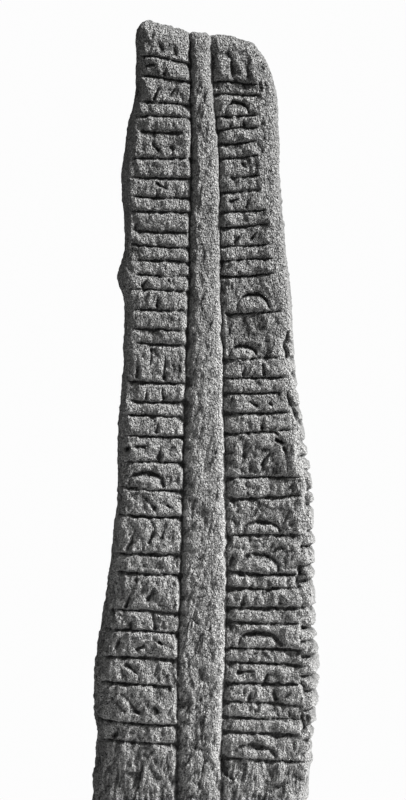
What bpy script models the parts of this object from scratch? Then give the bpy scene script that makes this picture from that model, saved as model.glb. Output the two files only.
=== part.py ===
"""A rune stone: a tall, narrow slab of grey stone that tapers upwards to a broken, slanting top.

A raised rib runs up its face between two grooves. A row of cut strokes lies on each side of the rib, and
a third row, beyond an edge line, turns round the right corner. The back and the left side are natural rock.
Metres, +Z up. The face looks along -Y and the origin is on the ground, in the middle of the flat foot.
"""
import math

import bmesh
import bpy
from mathutils import Vector

# ---- Driving dimensions -------------------------------------------------------------------------------

HEIGHT = 2.374  # the highest point, near the left end of the broken top

# Height, left edge and right edge of the slab as seen from the front.
OUTLINE = (
    (0.00, -0.286, 0.290),
    (0.27, -0.294, 0.299),
    (0.40, -0.284, 0.320),
    (0.60, -0.286, 0.332),
    (0.75, -0.262, 0.322),
    (0.95, -0.240, 0.321),
    (1.10, -0.221, 0.316),
    (1.25, -0.224, 0.294),
    (1.40, -0.213, 0.270),
    (1.60, -0.205, 0.260),
    (1.80, -0.206, 0.238),
    (1.95, -0.215, 0.228),
    (2.08, -0.201, 0.227),
    (2.20, -0.175, 0.222),
    (2.37, -0.174, 0.220),
)
KNOB = {"height": 1.683, "reach": 0.034, "swell": 0.021}  # a lump on the left edge

# Height, the plane of the face and the plane of the back.
DEPTHS = (
    (0.00, -0.200, 0.190),
    (0.80, -0.192, 0.180),
    (1.60, -0.176, 0.135),
    (2.37, -0.160, 0.090),
)
# Exponent of the section's curve: 2 is an ellipse, more is squarer. For the face: height, left side and
# right side.
FACE_SQUARENESS = (
    (0.00, 4.6, 11.0),
    (0.30, 5.0, 11.0),
    (0.60, 6.4, 11.0),
    (0.82, 6.2, 11.0),
    (1.05, 8.5, 11.0),
    (1.60, 8.5, 11.0),
    (1.85, 6.5, 11.0),
    (2.10, 6.0, 10.0),
    (2.37, 8.0, 9.0),
)
BACK_SQUARENESS = 2.7

# The broken top: how far each side rounds in, and over what height.
TOP_ROUNDING = {
    "left": (0.012, 0.022),
    "right": (0.075, 0.160),
    "face": (0.018, 0.030),
    "back": (0.075, 0.120),
}
# Place across the face and how far the top's edge lies below the highest point there.
TOP_LINE = (
    (-0.170, 0.002),
    (-0.135, 0.000),
    (-0.060, 0.016),
    (0.010, 0.032),
    (0.085, 0.037),
    (0.125, 0.051),
    (0.160, 0.060),
    (0.190, 0.070),
    (0.220, 0.088),
)
TOP_FALL_BACK = 0.25  # the top falls towards the back, metres per metre
TOP_TILT_FROM = 2.03  # the sections begin to tilt at this height

# Flat flakes struck off the back: direction round the section from +Y towards +X in degrees, then how far
# out the flat lies at the foot and at the top, in half sizes of the section. More than sin(direction) keeps
# it off the sides.
FLAKES = (
    (-50, 0.94, 0.92),
    (-22, 1.00, 0.86),
    (6, 0.93, 0.99),
    (33, 0.91, 0.90),
    (58, 0.98, 0.89),
)

# Height, bottom of the groove left of the rib and of the groove right of it, and how far the rib's left and
# right flanks take to rise from them.
RIB = (
    (0.00, -0.058, 0.066, 0.046, 0.022),
    (0.40, -0.058, 0.063, 0.044, 0.022),
    (0.65, -0.055, 0.074, 0.030, 0.028),
    (0.85, -0.047, 0.077, 0.024, 0.028),
    (1.08, -0.042, 0.077, 0.030, 0.027),
    (1.25, -0.039, 0.070, 0.036, 0.026),
    (1.45, -0.033, 0.068, 0.034, 0.024),
    (1.60, -0.026, 0.063, 0.032, 0.022),
    (1.80, -0.022, 0.060, 0.024, 0.018),
    (2.00, -0.018, 0.057, 0.021, 0.018),
    (2.12, -0.019, 0.048, 0.020, 0.019),
    (2.22, -0.020, 0.041, 0.019, 0.019),
    (2.37, -0.024, 0.035, 0.018, 0.020),
)
RIB_GROOVE_DEPTH = 0.013
RIB_CROWN = 0.004  # the rib's crown stands this proud of the face
OUTER_FLANK = {"left": 0.012, "right": 0.030}  # from a groove's bottom up to the face
FLANK_BEND = (0.35, 0.24)  # a wide flank has risen to this share of the depth at this share of its width

# Height and place across the face of the line that ends the right row.
EDGE_LINE = (
    (0.00, 0.262),
    (0.40, 0.285),
    (0.60, 0.281),
    (0.85, 0.276),
    (1.10, 0.289),
    (1.25, 0.268),
    (1.40, 0.240),
    (1.60, 0.236),
    (1.80, 0.208),
    (2.00, 0.176),
    (2.37, 0.172),
)
EDGE_LINE_DEPTH = 0.006
EDGE_LINE_HALF_WIDTH = 0.009
EDGE_LINE_FOOT = 0.34
EDGE_LINE_TOP = 1.53

# ---- The rows of strokes ------------------------------------------------------------------------------

GAPS = {"n": 0.040, "m": 0.053, "b": 0.072, "w": 0.103, "x": 0.124}  # between two long strokes
LEFT_ROW = {
    "top": 2.279,
    "rhythm": "mbnnbmmnmnnnnmmnwmnmbbbwmwmbbwm",
    "marks": "dv--z-s-----po--ct-odbzv-htqszp",
    "slope": (-0.07, -0.03),  # rise to the right, metres per metre, at the foot and at the top
    "margin": (0.010, 0.032),  # left free at the outer ends, at the foot and at the top
    "short_every": 5,
}
RIGHT_ROW = {
    "top": 2.236,
    "rhythm": "nbnnnmnmnmnnwxmnmmxmwwnmnbnmmnnb",
    "marks": "-bt--o-d-v--hqt-zdq-bz-c-v-dt--b",
    "slope": (-0.09, 0.12),
    "margin": (0.012, 0.012),
    "short_every": 7,
}
SIDE_ROW = {
    "top": 1.500,
    "rhythm": "nnnmnmnnmnbnmnbmnnmnmnn",
}
SIDE_ROW_REACH = math.radians(92)  # how far round the section the side row goes, from the face's middle

# Half width and depth of each kind of cut, and the share of them that is left at its two ends.
CUTS = {
    "stroke": {"half_width": 0.0062, "depth": 0.0080, "ends": (0.6, 0.6)},
    "side_stroke": {"half_width": 0.0105, "depth": 0.0140, "ends": (0.5, 0.5)},
    "wedge": {"half_width": 0.0070, "depth": 0.0090, "ends": (1.0, 0.35)},
    "crescent": {"half_width": 0.0080, "depth": 0.0080, "ends": (0.4, 0.5)},
    "pit": {"half_width": 0.0072, "depth": 0.0090, "ends": (0.9, 0.7)},
    "hole": {"half_width": 0.0080, "depth": 0.0120, "ends": (0.8, 0.8)},
}

# The marks that float in a gap: cuts with their points as shares of the gap's width and clear height.
MARKS = {
    "o": [("pit", [(0.50, 0.52), (0.60, 0.46)])],
    "p": [("pit", [(0.22, 0.30), (0.30, 0.36)]), ("wedge", [(0.66, 0.92), (0.70, 0.40)])],
    "s": [("wedge", [(0.38, 0.76), (0.56, 0.36)])],
    "t": [("wedge", [(0.30, 0.08), (0.33, 0.66)]), ("wedge", [(0.64, 0.24), (0.61, 0.86)])],
    "d": [("wedge", [(0.18, 0.56), (0.40, 0.68)]), ("pit", [(0.62, 0.34), (0.69, 0.36)])],
    "v": [("wedge", [(0.24, 0.18), (0.38, 0.62)]), ("wedge", [(0.58, 0.30), (0.70, 0.78)])],
    "z": [("wedge", [(0.52, 0.26), (0.36, 0.74)]), ("pit", [(0.74, 0.38), (0.79, 0.28)])],
    "c": [
        ("wedge", [(0.20, 0.06), (0.23, 0.60)]),
        ("wedge", [(0.47, 0.92), (0.45, 0.36)]),
        ("wedge", [(0.70, 0.12), (0.72, 0.74)]),
    ],
    "h": [
        ("crescent", [(0.26, 0.16), (0.30, 0.56), (0.40, 0.82), (0.56, 0.84), (0.66, 0.62)]),
        ("pit", [(0.48, 0.26), (0.57, 0.30)]),
    ],
    "q": [
        ("pit", [(0.22, 0.70), (0.29, 0.72)]),
        ("wedge", [(0.50, 0.26), (0.62, 0.58)]),
        ("pit", [(0.80, 0.66), (0.86, 0.62)]),
    ],
    "b": [("crescent", [(0.14, 0.02), (0.27, 0.42), (0.42, 0.80), (0.50, 0.94), (0.62, 0.78), (0.82, 0.40)])],
}
CLEAR = 0.014  # a mark keeps this far from the long strokes
CUTTER_LIFT = 0.008  # the cutters stand this far out of the surface

# Holes chipped out of the face, each as its two ends (x, height).
HOLES = (
    ((0.205, 1.261), (0.219, 1.252)),
    ((0.213, 1.238), (0.231, 1.231)),
    ((-0.198, 1.211), (-0.188, 1.217)),
    ((-0.240, 0.777), (-0.228, 0.773)),
    ((0.296, 0.492), (0.293, 0.470)),
)

# ---- How finely the blank is divided ------------------------------------------------------------------

RING_STEP = 0.092
TOP_RING_SHARES = (0.35, 0.62, 0.82, 0.94, 1.0)  # rings within the rounding of the top
BACK_COLUMNS = 12
CORNER_COLUMNS = 4


def curve_at(table, column, height):
    """The value in a column of a table at a height, on a smooth curve through the table's rows."""
    rows = len(table)
    i = 0
    while i < rows - 2 and height > table[i + 1][0]:
        i += 1
    low, high = table[i], table[i + 1]
    span = high[0] - low[0]
    t = min(max((height - low[0]) / span, 0.0), 1.0)

    def tangent(row):
        before, after = table[max(row - 1, 0)], table[min(row + 1, rows - 1)]
        return (after[column] - before[column]) / (after[0] - before[0]) * span

    return (
        (2 * t**3 - 3 * t**2 + 1) * low[column]
        + (t**3 - 2 * t**2 + t) * tangent(i)
        + (3 * t**2 - 2 * t**3) * high[column]
        + (t**3 - t**2) * tangent(i + 1)
    )


def ease(t):
    t = min(max(t, 0.0), 1.0)
    return t * t * (3 - 2 * t)


def jitter(i, k):
    """A fixed, scattered number from -1 to 1 for stroke i, different for each k."""
    return 2 * (math.sin(12.9898 * i + 78.233 * k) * 43758.5453 % 1.0) - 1


def rounding(side, level):
    """How far a side has rounded in at a level near the top."""
    reach, height = TOP_ROUNDING[side]
    t = min(max((level - (HEIGHT - height)) / height, 0.0), 1.0)
    return reach * (1 - math.sqrt(1 - t * t))


def section(level):
    """Middle and half size of the section at a level: centre x, half width, centre y, half depth."""
    knob = KNOB["swell"] * math.exp(-(((level - KNOB["height"]) / KNOB["reach"]) ** 2) / 2)
    left = curve_at(OUTLINE, 1, level) - knob + rounding("left", level)
    right = curve_at(OUTLINE, 2, level) - rounding("right", level)
    face = curve_at(DEPTHS, 1, level) + rounding("face", level)
    back = curve_at(DEPTHS, 2, level) - rounding("back", level)
    return (left + right) / 2, (right - left) / 2, (face + back) / 2, (back - face) / 2


def powered(value, exponent):
    return math.copysign(abs(value) ** exponent, value)


def face_squareness(across, level):
    return curve_at(FACE_SQUARENESS, 1 if across < 0 else 2, level)


def turn_of(x, level):
    """The angle round the section, from the face's middle towards +X, at which the face is at x."""
    centre, half = section(level)[:2]
    share = min(max((x - centre) / half, -0.999), 0.999)
    return math.asin(powered(share, face_squareness(share, level) / 2))


def surface(turn, level):
    """The point of the uncarved stone at an angle round its section and a level up it."""
    centre_x, half_x, centre_y, half_y = section(level)
    exponent = 2 / (face_squareness(math.sin(turn), level) if math.cos(turn) > 0 else BACK_SQUARENESS)
    across = powered(math.sin(turn), exponent)
    back = -powered(math.cos(turn), exponent)
    for bearing, at_foot, at_top in FLAKES:
        sine, cosine = math.sin(math.radians(bearing)), math.cos(math.radians(bearing))
        beyond = across * sine + back * cosine - (at_foot + (at_top - at_foot) * level / HEIGHT)
        if beyond > 0:
            across -= beyond * sine
            back -= beyond * cosine
    x, y = centre_x + half_x * across, centre_y + half_y * back
    tilt = ease((level - TOP_TILT_FROM) / (HEIGHT - TOP_TILT_FROM))
    face_y = curve_at(DEPTHS, 1, level) + rounding("face", level)
    fall = curve_at(TOP_LINE, 1, x) + TOP_FALL_BACK * (y - face_y)
    return Vector((x, y, level - tilt * fall))


def outward_at(turn, level):
    """The direction that the uncarved surface faces."""
    step = 0.01
    along = surface(turn + step, level) - surface(turn - step, level)
    up = surface(turn, level + step) - surface(turn, level - step)
    return along.cross(up).normalized()


# ---- The blank, with its rib, grooves and edge line ---------------------------------------------------


def face_columns(level):
    """Turn and relief of each column of the face, from the left corner to the right one."""
    left, right, left_flank, right_flank = (curve_at(RIB, column, level) for column in (1, 2, 3, 4))
    bend, low = FLANK_BEND[0], -FLANK_BEND[1] * RIB_GROOVE_DEPTH
    centre, half = section(level)[:2]
    line = min(curve_at(EDGE_LINE, 1, level), centre + 0.93 * half)
    line_shown = ease((EDGE_LINE_TOP - level) / 0.1) * ease((level - EDGE_LINE_FOOT) / 0.1)
    left_lip = left - OUTER_FLANK["left"]
    right_lip = right + OUTER_FLANK["right"]
    line_lip = line - EDGE_LINE_HALF_WIDTH
    corner = turn_of(line + EDGE_LINE_HALF_WIDTH, level)
    first = turn_of(centre - 0.9 * half, level)
    first_x = centre - 0.9 * half
    columns = [(-math.pi / 2 + share * (first + math.pi / 2), 0.0) for share in (0.0, 0.4, 0.75)]
    on_face = [
        (first_x, 0.0),
        ((first_x + left_lip) / 2, 0.0),
        (left_lip, 0.0),
        (left, -RIB_GROOVE_DEPTH),
        (left + bend * left_flank, low),
        (left + left_flank, 0.5 * RIB_CROWN),
        ((left + right) / 2, RIB_CROWN),
        (right - right_flank, 0.5 * RIB_CROWN),
        (right - bend * right_flank, low),
        (right, -RIB_GROOVE_DEPTH),
        (right + bend * OUTER_FLANK["right"], low),
        (right_lip, 0.0),
        (right_lip + 0.36 * (line_lip - right_lip), 0.0),
        (right_lip + 0.70 * (line_lip - right_lip), 0.0),
        (line_lip, 0.0),
        (line, -EDGE_LINE_DEPTH * line_shown),
    ]
    columns += [(turn_of(x, level), relief) for x, relief in on_face]
    for i in range(CORNER_COLUMNS):
        columns.append((corner + (math.pi / 2 - corner) * i / (CORNER_COLUMNS - 1), 0.0))
    return columns


def ring(level):
    """The points of the blank all round one level."""
    columns = face_columns(level)
    for i in range(1, BACK_COLUMNS):
        columns.append((math.pi / 2 + math.pi * i / BACK_COLUMNS, 0.0))
    points = []
    for turn, relief in columns:
        point = surface(turn, level)
        if relief:
            point += relief * outward_at(turn, level)
        points.append(point)
    return points


def ring_levels():
    """Levels of the rings, evenly up the slab and closer in the rounding of the top."""
    shoulder = HEIGHT - TOP_ROUNDING["right"][1]
    count = round(shoulder / RING_STEP)
    levels = [shoulder * i / count for i in range(count + 1)]
    levels += [shoulder + (HEIGHT - shoulder) * share for share in TOP_RING_SHARES]
    knob_levels = [KNOB["height"] + offset * KNOB["reach"] for offset in (-1.6, 0.0, 1.6)]
    levels = [z for z in levels if all(abs(z - knob) > RING_STEP / 3 for knob in knob_levels)]
    return sorted(levels + knob_levels)


def make_blank():
    """The whole slab as one closed mesh: rings joined by faces, with a flat foot and a closed top."""
    mesh = bmesh.new()
    rings = [[mesh.verts.new(point) for point in ring(level)] for level in ring_levels()]
    count = len(rings[0])
    for lower, upper in zip(rings, rings[1:]):
        for i in range(count):
            j = (i + 1) % count
            mesh.faces.new((lower[i], lower[j], upper[j], upper[i]))
    mesh.faces.new(rings[0])
    middle = sum((v.co for v in rings[-1]), Vector()) / count
    peak = mesh.verts.new(middle)
    for i in range(count):
        mesh.faces.new((rings[-1][i], rings[-1][(i + 1) % count], peak))
    bmesh.ops.triangulate(mesh, faces=mesh.faces[:])
    bmesh.ops.recalc_face_normals(mesh, faces=mesh.faces[:])
    return mesh


# ---- Strokes ------------------------------------------------------------------------------------------


def long_strokes(row, inner, outer):
    """The long strokes of a row on the face, top to bottom, each as its two ends (x, height)."""
    strokes = []
    height = row["top"]
    for i, gap in enumerate(row["rhythm"] + " "):
        share = height / HEIGHT
        slope = row["slope"][0] + (row["slope"][1] - row["slope"][0]) * share + 0.03 * jitter(i, 1)
        near, far = inner(height), outer(height)
        towards = 1 if near > far else -1
        margin = row["margin"][0] + (row["margin"][1] - row["margin"][0]) * share
        far += towards * margin * (1 + 0.6 * jitter(i, 2))
        if i % row["short_every"] == row["short_every"] - 1:
            near -= towards * 0.020 * (1.2 + jitter(i, 3))
        middle = (near + far) / 2
        ends = [(x, height + slope * (x - middle)) for x in (near, far)]
        strokes.append(sorted(ends))
        height -= GAPS.get(gap, 0.0)
    return strokes


def left_row():
    return long_strokes(
        LEFT_ROW,
        lambda z: curve_at(RIB, 1, z) - 0.5 * OUTER_FLANK["left"],
        lambda z: curve_at(OUTLINE, 1, z),
    )


def right_row():
    return long_strokes(
        RIGHT_ROW,
        lambda z: curve_at(RIB, 2, z) + 0.2 * OUTER_FLANK["right"],
        lambda z: curve_at(EDGE_LINE, 1, z),
    )


def marks(row, strokes):
    """The marks that float between the long strokes of a row, each as its (x, height) points and its cut."""
    found = []
    for i, kind in enumerate(row["marks"]):
        high, low = strokes[i], strokes[i + 1]

        def place(across, up):
            x = low[0][0] + (low[1][0] - low[0][0]) * across
            floor = low[0][1] + (low[1][1] - low[0][1]) * across + CLEAR
            ceiling = high[0][1] + (high[1][1] - high[0][1]) * across - CLEAR
            return x, floor + (ceiling - floor) * up

        shift = 0.07 * jitter(i, 4)
        for cut, points in MARKS.get(kind, []):
            found.append(([place(across + shift, up) for across, up in points], CUTS[cut]))
    return found


def side_row():
    """The strokes that turn round the right corner, each as (turn, level) points."""
    strokes = []
    height = SIDE_ROW["top"]
    for i, gap in enumerate(SIDE_ROW["rhythm"] + " "):
        start = turn_of(curve_at(EDGE_LINE, 1, height) + 1.9 * EDGE_LINE_HALF_WIDTH, height)
        end = SIDE_ROW_REACH + 0.08 * jitter(i, 5)
        rise = 0.008 * jitter(i, 6)
        strokes.append([(start + (end - start) * t, height + rise * t) for t in (0.0, 0.35, 0.7, 1.0)])
        height -= GAPS.get(gap, 0.0)
    return strokes


# ---- Cutters ------------------------------------------------------------------------------------------


def add_cutter(mesh, path, cut):
    """A three-sided bar along a path of (turn, level) points, its edge down in the stone."""
    stations = []
    for i, (turn, level) in enumerate(path):
        before, after = path[max(i - 1, 0)], path[min(i + 1, len(path) - 1)]
        point = surface(turn, level)
        outward = outward_at(turn, level)
        along = (surface(*after) - surface(*before)).normalized()
        across = outward.cross(along).normalized()
        at_end = i in (0, len(path) - 1)
        share = cut["ends"][1 if i else 0] if at_end else 1.0
        depth = cut["depth"] * share
        half = cut["half_width"] * share * (depth + CUTTER_LIFT) / depth
        top = point + outward * CUTTER_LIFT
        corners = (point - outward * depth, top + across * half, top - across * half)
        stations.append([mesh.verts.new(corner) for corner in corners])
    faces = [mesh.faces.new(stations[0]), mesh.faces.new(stations[-1])]
    for here, there in zip(stations, stations[1:]):
        for k in range(3):
            m = (k + 1) % 3
            faces.append(mesh.faces.new((here[k], here[m], there[m], there[k])))
    bmesh.ops.triangulate(mesh, faces=faces)


def on_face(path):
    """A path of (x, height) points on the face as (turn, level) points."""
    return [(turn_of(x, z), z) for x, z in path]


def with_middles(ends, pieces):
    """A straight stroke divided into pieces, so that its cutter follows the curve of the face."""
    (x0, z0), (x1, z1) = ends
    shares = [i / pieces for i in range(pieces + 1)]
    return [(x0 + (x1 - x0) * t, z0 + (z1 - z0) * t) for t in shares]


def make_cutters():
    """The bars that cut the long strokes, and apart from them the bars that cut the marks and the holes."""
    rows = ((LEFT_ROW, left_row()), (RIGHT_ROW, right_row()))
    strokes = bmesh.new()
    for _, row_strokes in rows:
        for ends in row_strokes:
            add_cutter(strokes, on_face(with_middles(ends, 4)), CUTS["stroke"])
    for path in side_row():
        add_cutter(strokes, path, CUTS["side_stroke"])
    small = bmesh.new()
    for row, row_strokes in rows:
        for path, cut in marks(row, row_strokes):
            add_cutter(small, on_face(path), cut)
    for ends in HOLES:
        add_cutter(small, on_face(ends), CUTS["hole"])
    for mesh in (strokes, small):
        bmesh.ops.recalc_face_normals(mesh, faces=mesh.faces[:])
    return {"strokes": strokes, "marks": small}


# ---- The object ---------------------------------------------------------------------------------------


def stone_material():
    material = bpy.data.materials.new("weathered_grey_stone")
    material.use_nodes = True
    shader = material.node_tree.nodes["Principled BSDF"]
    shader.inputs["Base Color"].default_value = (0.24, 0.24, 0.235, 1.0)
    shader.inputs["Roughness"].default_value = 0.88
    shader.inputs["Metallic"].default_value = 0.0
    return material


def add_object(name, mesh):
    data = bpy.data.meshes.new(name)
    mesh.to_mesh(data)
    mesh.free()
    made = bpy.data.objects.new(name, data)
    bpy.context.scene.collection.objects.link(made)
    return made


def main():
    for old in list(bpy.data.objects):
        bpy.data.objects.remove(old)
    stone = add_object("rune_stone", make_blank())
    stone.data.materials.append(stone_material())
    for name, mesh in make_cutters().items():
        cutters = add_object(name + "_cutters", mesh)
        cutters.hide_render = True
        cutters.display_type = "WIRE"
        carving = stone.modifiers.new("cut_" + name, "BOOLEAN")
        carving.operation = "DIFFERENCE"
        carving.solver = "EXACT"
        carving.object = cutters


main()
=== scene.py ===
import math

import bpy
import numpy as np
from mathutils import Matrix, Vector, noise


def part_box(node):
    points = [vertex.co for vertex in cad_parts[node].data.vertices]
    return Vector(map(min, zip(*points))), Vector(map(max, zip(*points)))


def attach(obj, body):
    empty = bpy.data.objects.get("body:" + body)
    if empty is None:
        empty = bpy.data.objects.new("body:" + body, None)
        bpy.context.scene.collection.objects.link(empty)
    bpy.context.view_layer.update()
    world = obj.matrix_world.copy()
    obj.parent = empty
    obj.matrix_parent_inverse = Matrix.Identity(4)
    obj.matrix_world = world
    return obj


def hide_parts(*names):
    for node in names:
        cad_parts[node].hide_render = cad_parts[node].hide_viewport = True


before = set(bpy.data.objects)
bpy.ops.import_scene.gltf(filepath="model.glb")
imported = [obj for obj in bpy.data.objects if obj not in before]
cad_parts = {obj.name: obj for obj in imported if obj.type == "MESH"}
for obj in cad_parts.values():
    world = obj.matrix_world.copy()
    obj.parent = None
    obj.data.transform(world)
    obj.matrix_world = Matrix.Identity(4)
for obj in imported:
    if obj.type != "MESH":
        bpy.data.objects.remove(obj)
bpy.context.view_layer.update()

print("stage: frame loaded")


def selectOnly(piece):
    bpy.ops.object.select_all(action="DESELECT")
    piece.select_set(True)
    bpy.context.view_layer.objects.active = piece


# a curve's value at each height: smooth through the rows (height, value, value)
def curveAt(rows, column, height):
    rows = np.array(rows)
    z, value = rows[:, 0], rows[:, column]
    last = len(z) - 1
    after = np.minimum(np.arange(last + 1) + 1, last)
    before = np.maximum(np.arange(last + 1) - 1, 0)
    slope = (value[after] - value[before]) / (z[after] - z[before])
    i = np.clip(np.searchsorted(z, height) - 1, 0, last - 1)
    span = z[i + 1] - z[i]
    t = np.clip((height - z[i]) / span, 0, 1)
    return (
        (2 * t**3 - 3 * t**2 + 1) * value[i]
        + (t**3 - 2 * t**2 + t) * slope[i] * span
        + (3 * t**2 - 2 * t**3) * value[i + 1]
        + (t**3 - t**2) * slope[i + 1] * span
    )


def ease(t):
    t = np.clip(t, 0, 1)
    return t * t * (3 - 2 * t)


# rises steeply from 0 and rounds over to 1
def roundOff(t):
    t = np.clip(t, 0, 1)
    return np.sqrt(t * (2 - t))


def powered(value, exponent):
    return np.sign(value) * np.abs(value) ** exponent


# a fixed, scattered number from -1 to 1 for mark i, another for each k
def jitter(i, k):
    return 2 * (math.sin(12.9898 * i + 78.233 * k) * 43758.5453 % 1.0) - 1


# the slab in metres: the face looks along -Y, the foot stands flat on the ground
slab = {
    "height": 2.374,
    "outline": (  # height, left edge, right edge
        (0.00, -0.286, 0.290), (0.27, -0.294, 0.299), (0.40, -0.284, 0.320), (0.60, -0.286, 0.332),
        (0.75, -0.262, 0.322), (0.95, -0.240, 0.321), (1.10, -0.221, 0.316), (1.25, -0.224, 0.294),
        (1.40, -0.213, 0.270), (1.60, -0.205, 0.260), (1.80, -0.206, 0.238), (1.95, -0.215, 0.228),
        (2.08, -0.201, 0.227), (2.20, -0.175, 0.222), (2.37, -0.174, 0.220),
    ),
    "depths": (  # height, face, back
        (0.00, -0.200, 0.190), (0.80, -0.192, 0.180), (1.60, -0.176, 0.135), (2.37, -0.160, 0.090),
    ),
    "faceSquareness": (  # height, left side, right side: 2 is an ellipse, more is squarer
        (0.00, 4.6, 11.0), (0.30, 5.0, 11.0), (0.60, 6.4, 11.0), (0.82, 6.2, 11.0), (1.05, 8.5, 11.0),
        (1.60, 8.5, 11.0), (1.85, 6.5, 11.0), (2.10, 6.0, 10.0), (2.37, 8.0, 9.0),
    ),
    "backSquareness": 2.7,
    "knobHeight": 1.683,  # a lump on the left edge
    "knobReach": 0.034,
    "knobSwell": 0.021,
    "topRounding": {  # how far in each edge is rounded, and over what height
        "left": (0.012, 0.022), "right": (0.075, 0.160), "face": (0.018, 0.030), "back": (0.075, 0.120),
    },
    "topLine": (  # place across the face, how far the top lies below its highest point there
        (-0.170, 0.002), (-0.135, 0.000), (-0.060, 0.016), (0.010, 0.032), (0.085, 0.037),
        (0.125, 0.051), (0.160, 0.060), (0.190, 0.070), (0.220, 0.088),
    ),
    "topFallBack": 0.25,
    "topTiltFrom": 2.03,
    # flats struck off the back: bearing in degrees, then how far out at the foot and at the top
    "flakes": ((-50, 0.94, 0.92), (-22, 1.00, 0.86), (6, 0.93, 0.99), (33, 0.91, 0.90), (58, 0.98, 0.89)),
}


def rounding(side, level):
    reach, height = slab["topRounding"][side]
    t = np.clip((level - (slab["height"] - height)) / height, 0, 1)
    return reach * (1 - np.sqrt(1 - t * t))


# middle and half size of the section at each level
def sectionAt(level):
    knob = slab["knobSwell"] * np.exp(-(((level - slab["knobHeight"]) / slab["knobReach"]) ** 2) / 2)
    left = curveAt(slab["outline"], 1, level) - knob + rounding("left", level)
    right = curveAt(slab["outline"], 2, level) - rounding("right", level)
    face = curveAt(slab["depths"], 1, level) + rounding("face", level)
    back = curveAt(slab["depths"], 2, level) - rounding("back", level)
    return (left + right) / 2, (right - left) / 2, (face + back) / 2, (back - face) / 2


# where the plain stone is, at a turn round its section from the middle of the face, and a level up it
def stonePoints(turn, level):
    centreX, halfX, centreY, halfY = sectionAt(level)
    left, right = (curveAt(slab["faceSquareness"], column, level) for column in (1, 2))
    faceSquareness = np.where(np.sin(turn) < 0, left, right)
    exponent = 2 / np.where(np.cos(turn) > 0, faceSquareness, slab["backSquareness"])
    across = powered(np.sin(turn), exponent) + 0 * level
    back = -powered(np.cos(turn), exponent) + 0 * level
    for bearing, atFoot, atTop in slab["flakes"]:
        sine, cosine = math.sin(math.radians(bearing)), math.cos(math.radians(bearing))
        beyond = across * sine + back * cosine - (atFoot + (atTop - atFoot) * level / slab["height"])
        beyond = np.maximum(beyond, 0)
        across = across - beyond * sine
        back = back - beyond * cosine
    x, y = centreX + halfX * across, centreY + halfY * back
    tilt = ease((level - slab["topTiltFrom"]) / (slab["height"] - slab["topTiltFrom"]))
    faceY = curveAt(slab["depths"], 1, level) + rounding("face", level)
    fall = curveAt(slab["topLine"], 1, x) + slab["topFallBack"] * (y - faceY)
    return np.stack([x, y, level - tilt * fall], axis=-1)


# how finely the grid is laid round the slab; turns in degrees from the middle of the face
lay = {
    "faceStep": 0.0025,
    "backStep": 0.0070,
    "rowStep": 0.0025,
    "fineFrom": -95,
    "fineTo": 115,
    "fineFade": 20,
    "measuredAt": 1.2,  # the level at which the columns are spaced out
    "domeHeight": 0.14,
    "domeRows": 64,
    "capRows": 26,
}


# the turns of the grid's columns, close together over the face and the right corner
def columnTurns():
    offsets = np.logspace(-13, -3, 500)  # a squarish section runs far on a tiny turn, at its middles
    samples = [np.linspace(-math.pi, math.pi, 4001)]
    samples += [quarter + side * offsets for quarter in (-math.pi / 2, 0, math.pi / 2) for side in (-1, 1)]
    samples = np.unique(np.concatenate(samples))
    ring = stonePoints(samples[None, :], np.array([[lay["measuredAt"]]]))[0]
    lengths = np.linalg.norm(np.diff(ring, axis=0), axis=1)
    middle = np.degrees((samples[1:] + samples[:-1]) / 2)
    fine = ease((middle - lay["fineFrom"]) / lay["fineFade"])
    fine = fine * ease((lay["fineTo"] - middle) / lay["fineFade"])
    wanted = lay["backStep"] + (lay["faceStep"] - lay["backStep"]) * fine
    run = np.concatenate([[0], np.cumsum(lengths / wanted)])
    return np.interp(np.linspace(0, run[-1], int(run[-1]) + 1), run, samples)


def rowLevels():
    shoulder = slab["height"] - lay["domeHeight"]
    straight = np.linspace(0, shoulder, round(shoulder / lay["rowStep"]))
    dome = shoulder + lay["domeHeight"] * np.sin(np.linspace(0, math.pi / 2, lay["domeRows"] + 1))[1:]
    return np.concatenate([straight, dome])


turns, levels = columnTurns(), rowLevels()
body = stonePoints(turns[None, :], levels[:, None])
pole = body[-1].mean(axis=0)
inward = np.linspace(0, 1, lay["capRows"] + 1)[1:]
cap = pole + (body[-1][None] - pole) * (1 - inward)[:, None, None]
plain = np.concatenate([body, cap])  # rows, columns, xyz
rowCount, columnCount = plain.shape[:2]

outward = np.cross(np.gradient(plain, axis=1), np.gradient(plain, axis=0))
outward[:, 0] = outward[:, -1] = outward[:, 0] + outward[:, -1]
outward[-1] = outward[-2].mean(axis=0)
outward /= np.maximum(np.linalg.norm(outward, axis=2, keepdims=True), 1e-12)

# the surface laid flat: how far round from the middle of the face, and the level
steps = np.linalg.norm(np.diff(body, axis=1), axis=2)
around = np.concatenate([np.zeros((len(levels), 1)), np.cumsum(steps, axis=1)], axis=1)
middleColumn = int(np.argmin(np.abs(turns)))
around -= around[:, middleColumn:middleColumn + 1]
upward = np.repeat(levels[:, None], columnCount, axis=1)
facing = np.cos(turns)[None, :]  # 1 in the middle of the face, -1 in the middle of the back
frontColumns = np.abs(turns) < math.pi / 2
print("stage: grid of", rowCount, "by", columnCount)


# how far round the surface a place across the face lies
def aroundAt(x, level):
    row = min(int(np.searchsorted(levels, level)), len(levels) - 1)
    return float(np.interp(x, body[row, frontColumns, 0], around[row, frontColumns]))


def aroundAtTurn(turn, level):
    row = min(int(np.searchsorted(levels, level)), len(levels) - 1)
    return float(np.interp(turn, turns, around[row]))


# the points measured in cells of a size (across, across, upward) that lean to the right as they rise
def inCells(points, size, seed, lean):
    x, y, z = points.reshape(-1, 3).T
    x, z = x - lean * z, z + 0.35 * x
    spots = np.stack([0.77 * x - 0.64 * y, 0.64 * x + 0.77 * y, z], axis=1)  # turned, so that no rows show
    return (spots / np.array(size) + 13.7 * seed).tolist()


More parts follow.
